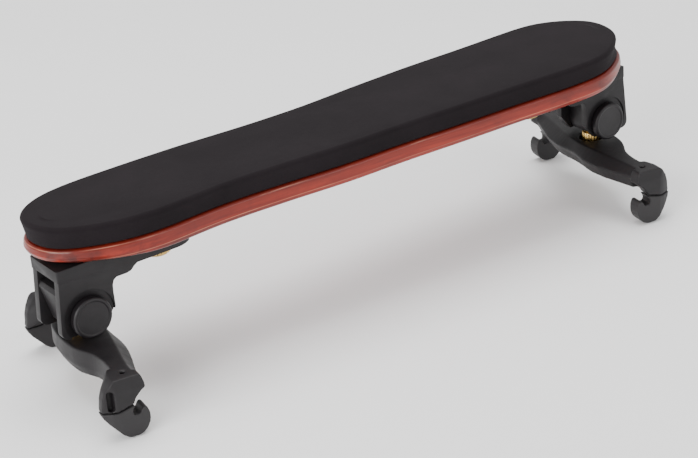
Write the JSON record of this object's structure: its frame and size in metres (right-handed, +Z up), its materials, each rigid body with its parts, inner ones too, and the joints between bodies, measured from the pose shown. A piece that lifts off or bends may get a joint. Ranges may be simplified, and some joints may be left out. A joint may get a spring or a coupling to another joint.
{
  "type": "violin shoulder rest",
  "caption": "Padded wooden bar on two folding, height-adjustable legs, each with a swivelling fork whose rubber-tipped claws grip a violin's edge.",
  "frame": {"origin": "on the ground under the middle of the bounding box", "axes": "+X along the board towards the right leg, +Z up, -Y towards the edge of the board that faces the camera"},
  "size_m": [0.2484, 0.0774, 0.062],
  "materials": {
    "board": "clear gloss varnish",
    "pad": "fine matte closed-cell foam",
    "plastic": "satin, finely textured",
    "rubber": "satin",
    "brass": "knurled, polished",
    "steel": "plain"
  },
  "bodies": {
    "board": {"wood_board": "board", "foam_pad": "pad", "thread_insert_left": "brass", "thread_insert_right": "brass"},
    "bracket_left": {"bracket_left": "plastic"},
    "thumb_screw_left": {"thumb_screw_left": "brass", "thumb_washer_left": "steel"},
    "hinge_block_left": {"hinge_block_left": "plastic"},
    "pivot_left_front": {"pivot_pin_left_front": "steel", "pivot_knob_left_front": "plastic"},
    "pivot_left_rear": {"pivot_pin_left_rear": "steel", "pivot_knob_left_rear": "plastic"},
    "thrust_washer_left": {"thrust_washer_left": "steel"},
    "height_stud_left": {"height_stud_left": "brass", "height_collar_left": "brass", "retaining_nut_left": "brass"},
    "fork_left": {"fork_left": "plastic", "boot_left_front": "rubber", "boot_left_rear": "rubber"},
    "bracket_right": {"bracket_right": "plastic"},
    "thumb_screw_right": {"thumb_screw_right": "brass", "thumb_washer_right": "steel"},
    "hinge_block_right": {"hinge_block_right": "plastic"},
    "pivot_right_front": {"pivot_pin_right_front": "steel", "pivot_knob_right_front": "plastic"},
    "pivot_right_rear": {"pivot_pin_right_rear": "steel", "pivot_knob_right_rear": "plastic"},
    "thrust_washer_right": {"thrust_washer_right": "steel"},
    "height_stud_right": {"height_stud_right": "brass", "height_collar_right": "brass", "retaining_nut_right": "brass"},
    "fork_right": {"fork_right": "plastic", "boot_right_front": "rubber", "boot_right_rear": "rubber"}
  },
  "joints": [
    {"name": "width_left", "type": "slide", "parent": "board", "child": "bracket_left", "axis": [-1, 0, -0.0055], "range_m": [-0.009, 0.003]},
    {"name": "thumb_turn_left", "type": "hinge", "parent": "board", "child": "thumb_screw_left", "pos_m": [-0.0789, 0.00226, 0.04022], "axis": [-0.0055, 0, 1], "continuous": true},
    {"name": "fold_left", "type": "hinge", "parent": "bracket_left", "child": "hinge_block_left", "pos_m": [-0.10954, 0.00226, 0.02775], "axis": [0, -1, 0], "range_deg": [-8, 50]},
    {"name": "knob_front_left", "type": "hinge", "parent": "bracket_left", "child": "pivot_left_front", "pos_m": [-0.10954, -0.00674, 0.02775], "axis": [0, -1, 0], "continuous": true},
    {"name": "knob_rear_left", "type": "hinge", "parent": "bracket_left", "child": "pivot_left_rear", "pos_m": [-0.10954, 0.01126, 0.02775], "axis": [0, 1, 0], "continuous": true},
    {"name": "height_left", "type": "slide", "parent": "hinge_block_left", "child": "thrust_washer_left", "axis": [0.0055, 0, -1], "range_m": [-0.0002, 0.009]},
    {"name": "stud_turn_left", "type": "hinge", "parent": "thrust_washer_left", "child": "height_stud_left", "pos_m": [-0.10949, 0.00226, 0.02005], "axis": [-0.0055, 0, 1], "range_deg": [-91, 4051]},
    {"name": "swivel_left", "type": "hinge", "parent": "thrust_washer_left", "child": "fork_left", "pos_m": [-0.10947, 0.00226, 0.01505], "axis": [-0.0055, 0, 1], "range_deg": [-26.4, 43.6]},
    {"name": "width_right", "type": "slide", "parent": "board", "child": "bracket_right", "axis": [1, 0, 0.0055], "range_m": [-0.009, 0.003]},
    {"name": "thumb_turn_right", "type": "hinge", "parent": "board", "child": "thumb_screw_right", "pos_m": [0.07829, 0.00226, 0.04108], "axis": [-0.0055, 0, 1], "continuous": true},
    {"name": "fold_right", "type": "hinge", "parent": "bracket_right", "child": "hinge_block_right", "pos_m": [0.10906, 0.00226, 0.02895], "axis": [0, 1, 0], "range_deg": [-8, 50]},
    {"name": "knob_front_right", "type": "hinge", "parent": "bracket_right", "child": "pivot_right_front", "pos_m": [0.10906, -0.00674, 0.02895], "axis": [0, -1, 0], "continuous": true},
    {"name": "knob_rear_right", "type": "hinge", "parent": "bracket_right", "child": "pivot_right_rear", "pos_m": [0.10906, 0.01126, 0.02895], "axis": [0, 1, 0], "continuous": true},
    {"name": "height_right", "type": "slide", "parent": "hinge_block_right", "child": "thrust_washer_right", "axis": [0.0055, 0, -1], "range_m": [-0.0014, 0.0078]},
    {"name": "stud_turn_right", "type": "hinge", "parent": "thrust_washer_right", "child": "height_stud_right", "pos_m": [0.10911, 0.00226, 0.02005], "axis": [-0.0055, 0, 1], "range_deg": [-631, 3511]},
    {"name": "swivel_right", "type": "hinge", "parent": "thrust_washer_right", "child": "fork_right", "pos_m": [0.10914, 0.00226, 0.01505], "axis": [-0.0055, 0, 1], "range_deg": [-24.8, 45.2]}
  ],
  "couplings": [
    {"joint": "stud_turn_left", "follows": "height_left", "rad_per_m": 7854},
    {"joint": "stud_turn_right", "follows": "height_right", "rad_per_m": 7854}
  ]
}
